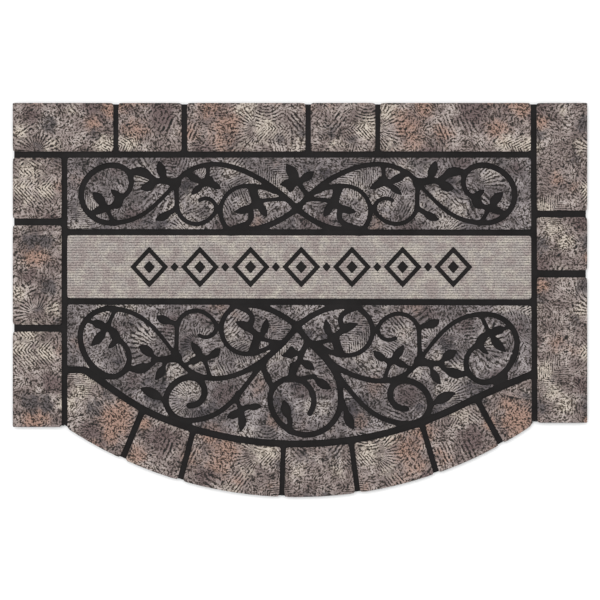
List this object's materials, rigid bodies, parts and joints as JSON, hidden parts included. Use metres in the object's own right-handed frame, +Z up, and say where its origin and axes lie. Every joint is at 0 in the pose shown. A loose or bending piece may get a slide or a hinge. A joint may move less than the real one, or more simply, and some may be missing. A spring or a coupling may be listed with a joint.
{
  "type": "doormat",
  "caption": "Entrance mat with one bowed edge: a black rubber base with a raised felt face of stone shapes, a plain band and panels of open scrollwork channels.",
  "frame": {"origin": "centre of the overall box in X and Y, at the underside that lies on the floor", "axes": "+X along the width, +Y from the bowed edge towards the straight edge, +Z up from the floor"},
  "size_m": [0.889, 0.61, 0.009],
  "materials": {
    "rubber": "matte moulded",
    "stone_felt": "printed mottled stone, short needled pile",
    "scroll_felt": "printed grey stone, short needled pile",
    "band_felt": "light ribbed needled pile"
  },
  "bodies": {
    "root": {"rubber_base": "rubber", "brick_top_1": "stone_felt", "brick_top_2": "stone_felt", "brick_top_3": "stone_felt", "brick_top_4": "stone_felt", "brick_top_5": "stone_felt", "brick_left_1": "stone_felt", "brick_left_2": "stone_felt", "brick_left_3": "stone_felt", "brick_right_1": "stone_felt", "brick_right_2": "stone_felt", "brick_right_3": "stone_felt", "brick_bow_1": "stone_felt", "brick_bow_2": "stone_felt", "brick_bow_3": "stone_felt", "brick_bow_4": "stone_felt", "brick_bow_5": "stone_felt", "brick_bow_6": "stone_felt", "brick_bow_7": "stone_felt", "centre_band": "band_felt", "scroll_panel_upper": "scroll_felt", "scroll_panel_lower": "scroll_felt"}
  },
  "joints": []
}
